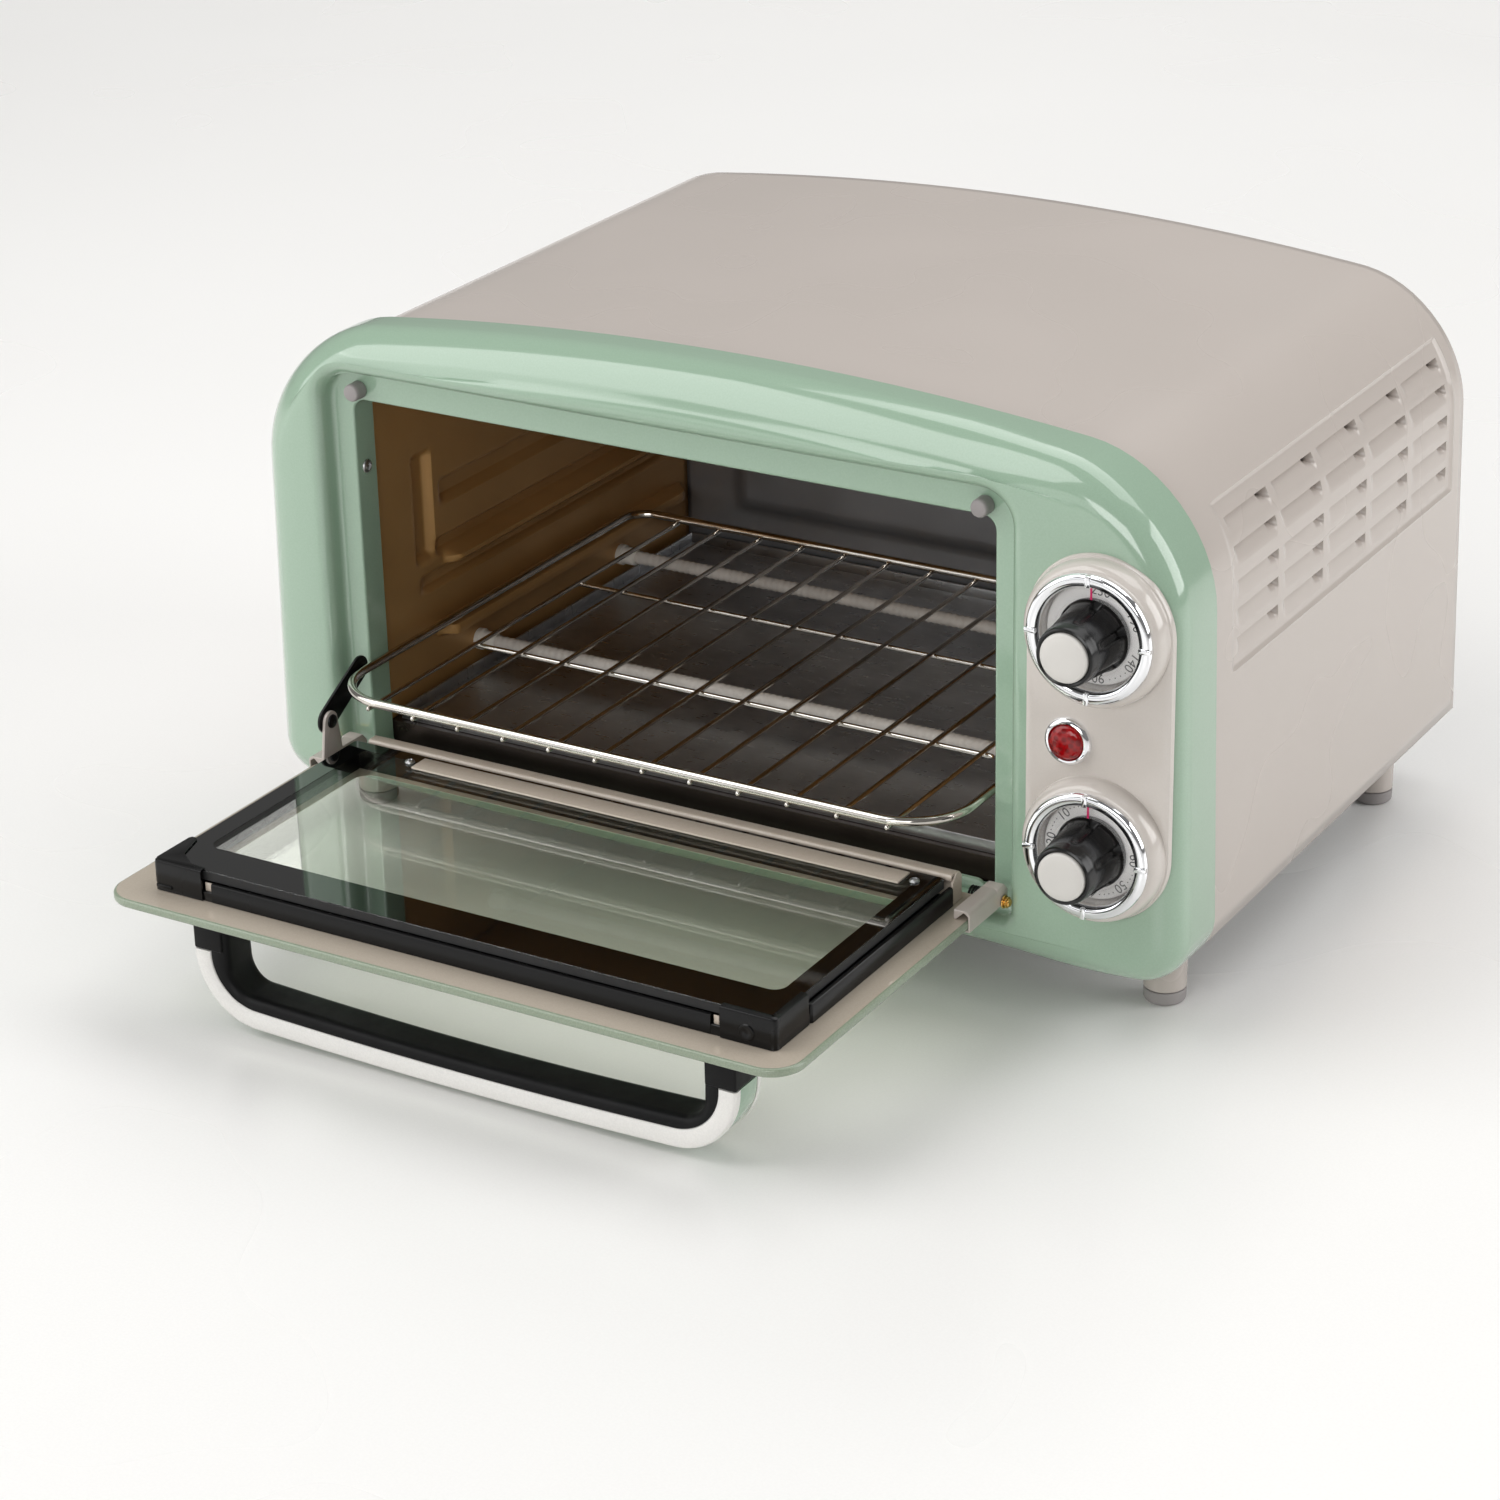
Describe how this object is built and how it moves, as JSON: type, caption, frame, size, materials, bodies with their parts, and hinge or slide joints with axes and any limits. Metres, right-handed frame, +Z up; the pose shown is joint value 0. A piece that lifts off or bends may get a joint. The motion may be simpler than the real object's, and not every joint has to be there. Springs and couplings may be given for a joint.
{
  "type": "toaster oven",
  "caption": "Countertop toaster oven with arched casing, glazed drop-down door, bow handle, wire rack, heater tubes and dial knobs, shown with its door open.",
  "frame": {"origin": "on the surface it stands on, under the middle of the object's box with the door open", "axes": "+X to the right seen from the front, +Y from front to back, +Z up; the door and controls face -Y"},
  "size_m": [0.449, 0.488, 0.252],
  "materials": {
    "mint_plastic": "gloss moulded plastic",
    "greige_enamel": "satin gloss enamel",
    "zinc_steel": "zinc plated steel",
    "dark_cavity_steel": "dark heat-tinted steel",
    "rubber": "matte rubber",
    "chrome": "polished chrome plate",
    "clear_glass": "clear tempered glass and clear plastic",
    "red_lens": "translucent red lens",
    "black_enamel": "gloss black enamel",
    "black_plastic": "satin black heat-resistant plastic",
    "brass": "turned brass",
    "dial_print": "printed silver-grey disc"
  },
  "bodies": {
    "casing": {"front_bezel": "mint_plastic", "outer_shell": "greige_enamel", "base_plate": "zinc_steel", "rear_panel": "zinc_steel", "cord_gland": "rubber", "cavity_left_wall": "dark_cavity_steel", "cavity_right_wall": "dark_cavity_steel", "cavity_roof": "dark_cavity_steel", "cavity_back": "dark_cavity_steel", "cavity_floor": "dark_cavity_steel", "crumb_tray": "zinc_steel", "heater_lower_front": "zinc_steel", "heater_lower_rear": "zinc_steel", "heater_upper_front": "zinc_steel", "heater_upper_rear": "zinc_steel", "foot_front_left": "greige_enamel", "foot_front_right": "greige_enamel", "foot_rear_left": "greige_enamel", "foot_rear_right": "greige_enamel", "foot_tip_front_left": "rubber", "foot_tip_front_right": "rubber", "foot_tip_rear_left": "rubber", "foot_tip_rear_right": "rubber", "door_bumper_left": "rubber", "door_bumper_right": "rubber", "bezel_screw_left": "zinc_steel", "bezel_screw_right": "zinc_steel", "control_panel": "greige_enamel", "thermostat_dial_ring": "chrome", "timer_dial_ring": "chrome", "thermostat_dial_window": "clear_glass", "timer_dial_window": "clear_glass", "thermostat_body": "zinc_steel", "timer_body": "zinc_steel", "lamp_ring": "chrome", "lamp_lens": "red_lens"},
    "door": {"door_outer_glass": "clear_glass", "door_inner_frame": "black_enamel", "door_inner_glass": "clear_glass", "door_bottom_rail": "greige_enamel", "handle_grip": "black_plastic", "handle_trim": "chrome", "handle_inlay": "mint_plastic", "hinge_cap_left": "greige_enamel", "hinge_cap_right": "greige_enamel", "hinge_pin_left": "brass", "hinge_pin_right": "brass", "hinge_spring": "black_enamel", "link_tab": "greige_enamel", "link_rivet": "zinc_steel"},
    "link": {"rack_link": "black_enamel"},
    "rack": {"wire_rack": "chrome"},
    "thermostat_control": {"thermostat_knob": "black_plastic", "thermostat_knob_cap": "greige_enamel", "thermostat_dial_disc": "dial_print", "thermostat_shaft": "zinc_steel"},
    "timer_control": {"timer_knob": "black_plastic", "timer_knob_cap": "greige_enamel", "timer_dial_disc": "dial_print", "timer_shaft": "zinc_steel"}
  },
  "joints": [
    {"name": "door_hinge", "type": "hinge", "parent": "casing", "child": "door", "pos_m": [-0.017, -0.072, 0.0525], "axis": [-1, 0, 0], "range_deg": [0, 90]},
    {"name": "rack_slide", "type": "slide", "parent": "casing", "child": "rack", "axis": [0, 1, 0], "range_m": [0, 0.048]},
    {"name": "link_pivot", "type": "hinge", "parent": "door", "child": "link", "pos_m": [-0.16985, -0.096, 0.0765], "axis": [1, 0, 0], "range_deg": [0, 90]},
    {"name": "thermostat_turn", "type": "hinge", "parent": "casing", "child": "thermostat_control", "pos_m": [0.188, -0.0725, 0.178], "axis": [0, -1, 0], "range_deg": [0, 285]},
    {"name": "timer_turn", "type": "hinge", "parent": "casing", "child": "timer_control", "pos_m": [0.188, -0.0725, 0.086], "axis": [0, 1, 0], "range_deg": [0, 275]}
  ],
  "couplings": [
    {"joint": "rack_slide", "follows": "door_hinge", "m_per_rad": 0.030558},
    {"joint": "link_pivot", "follows": "door_hinge", "ratio": 1}
  ]
}
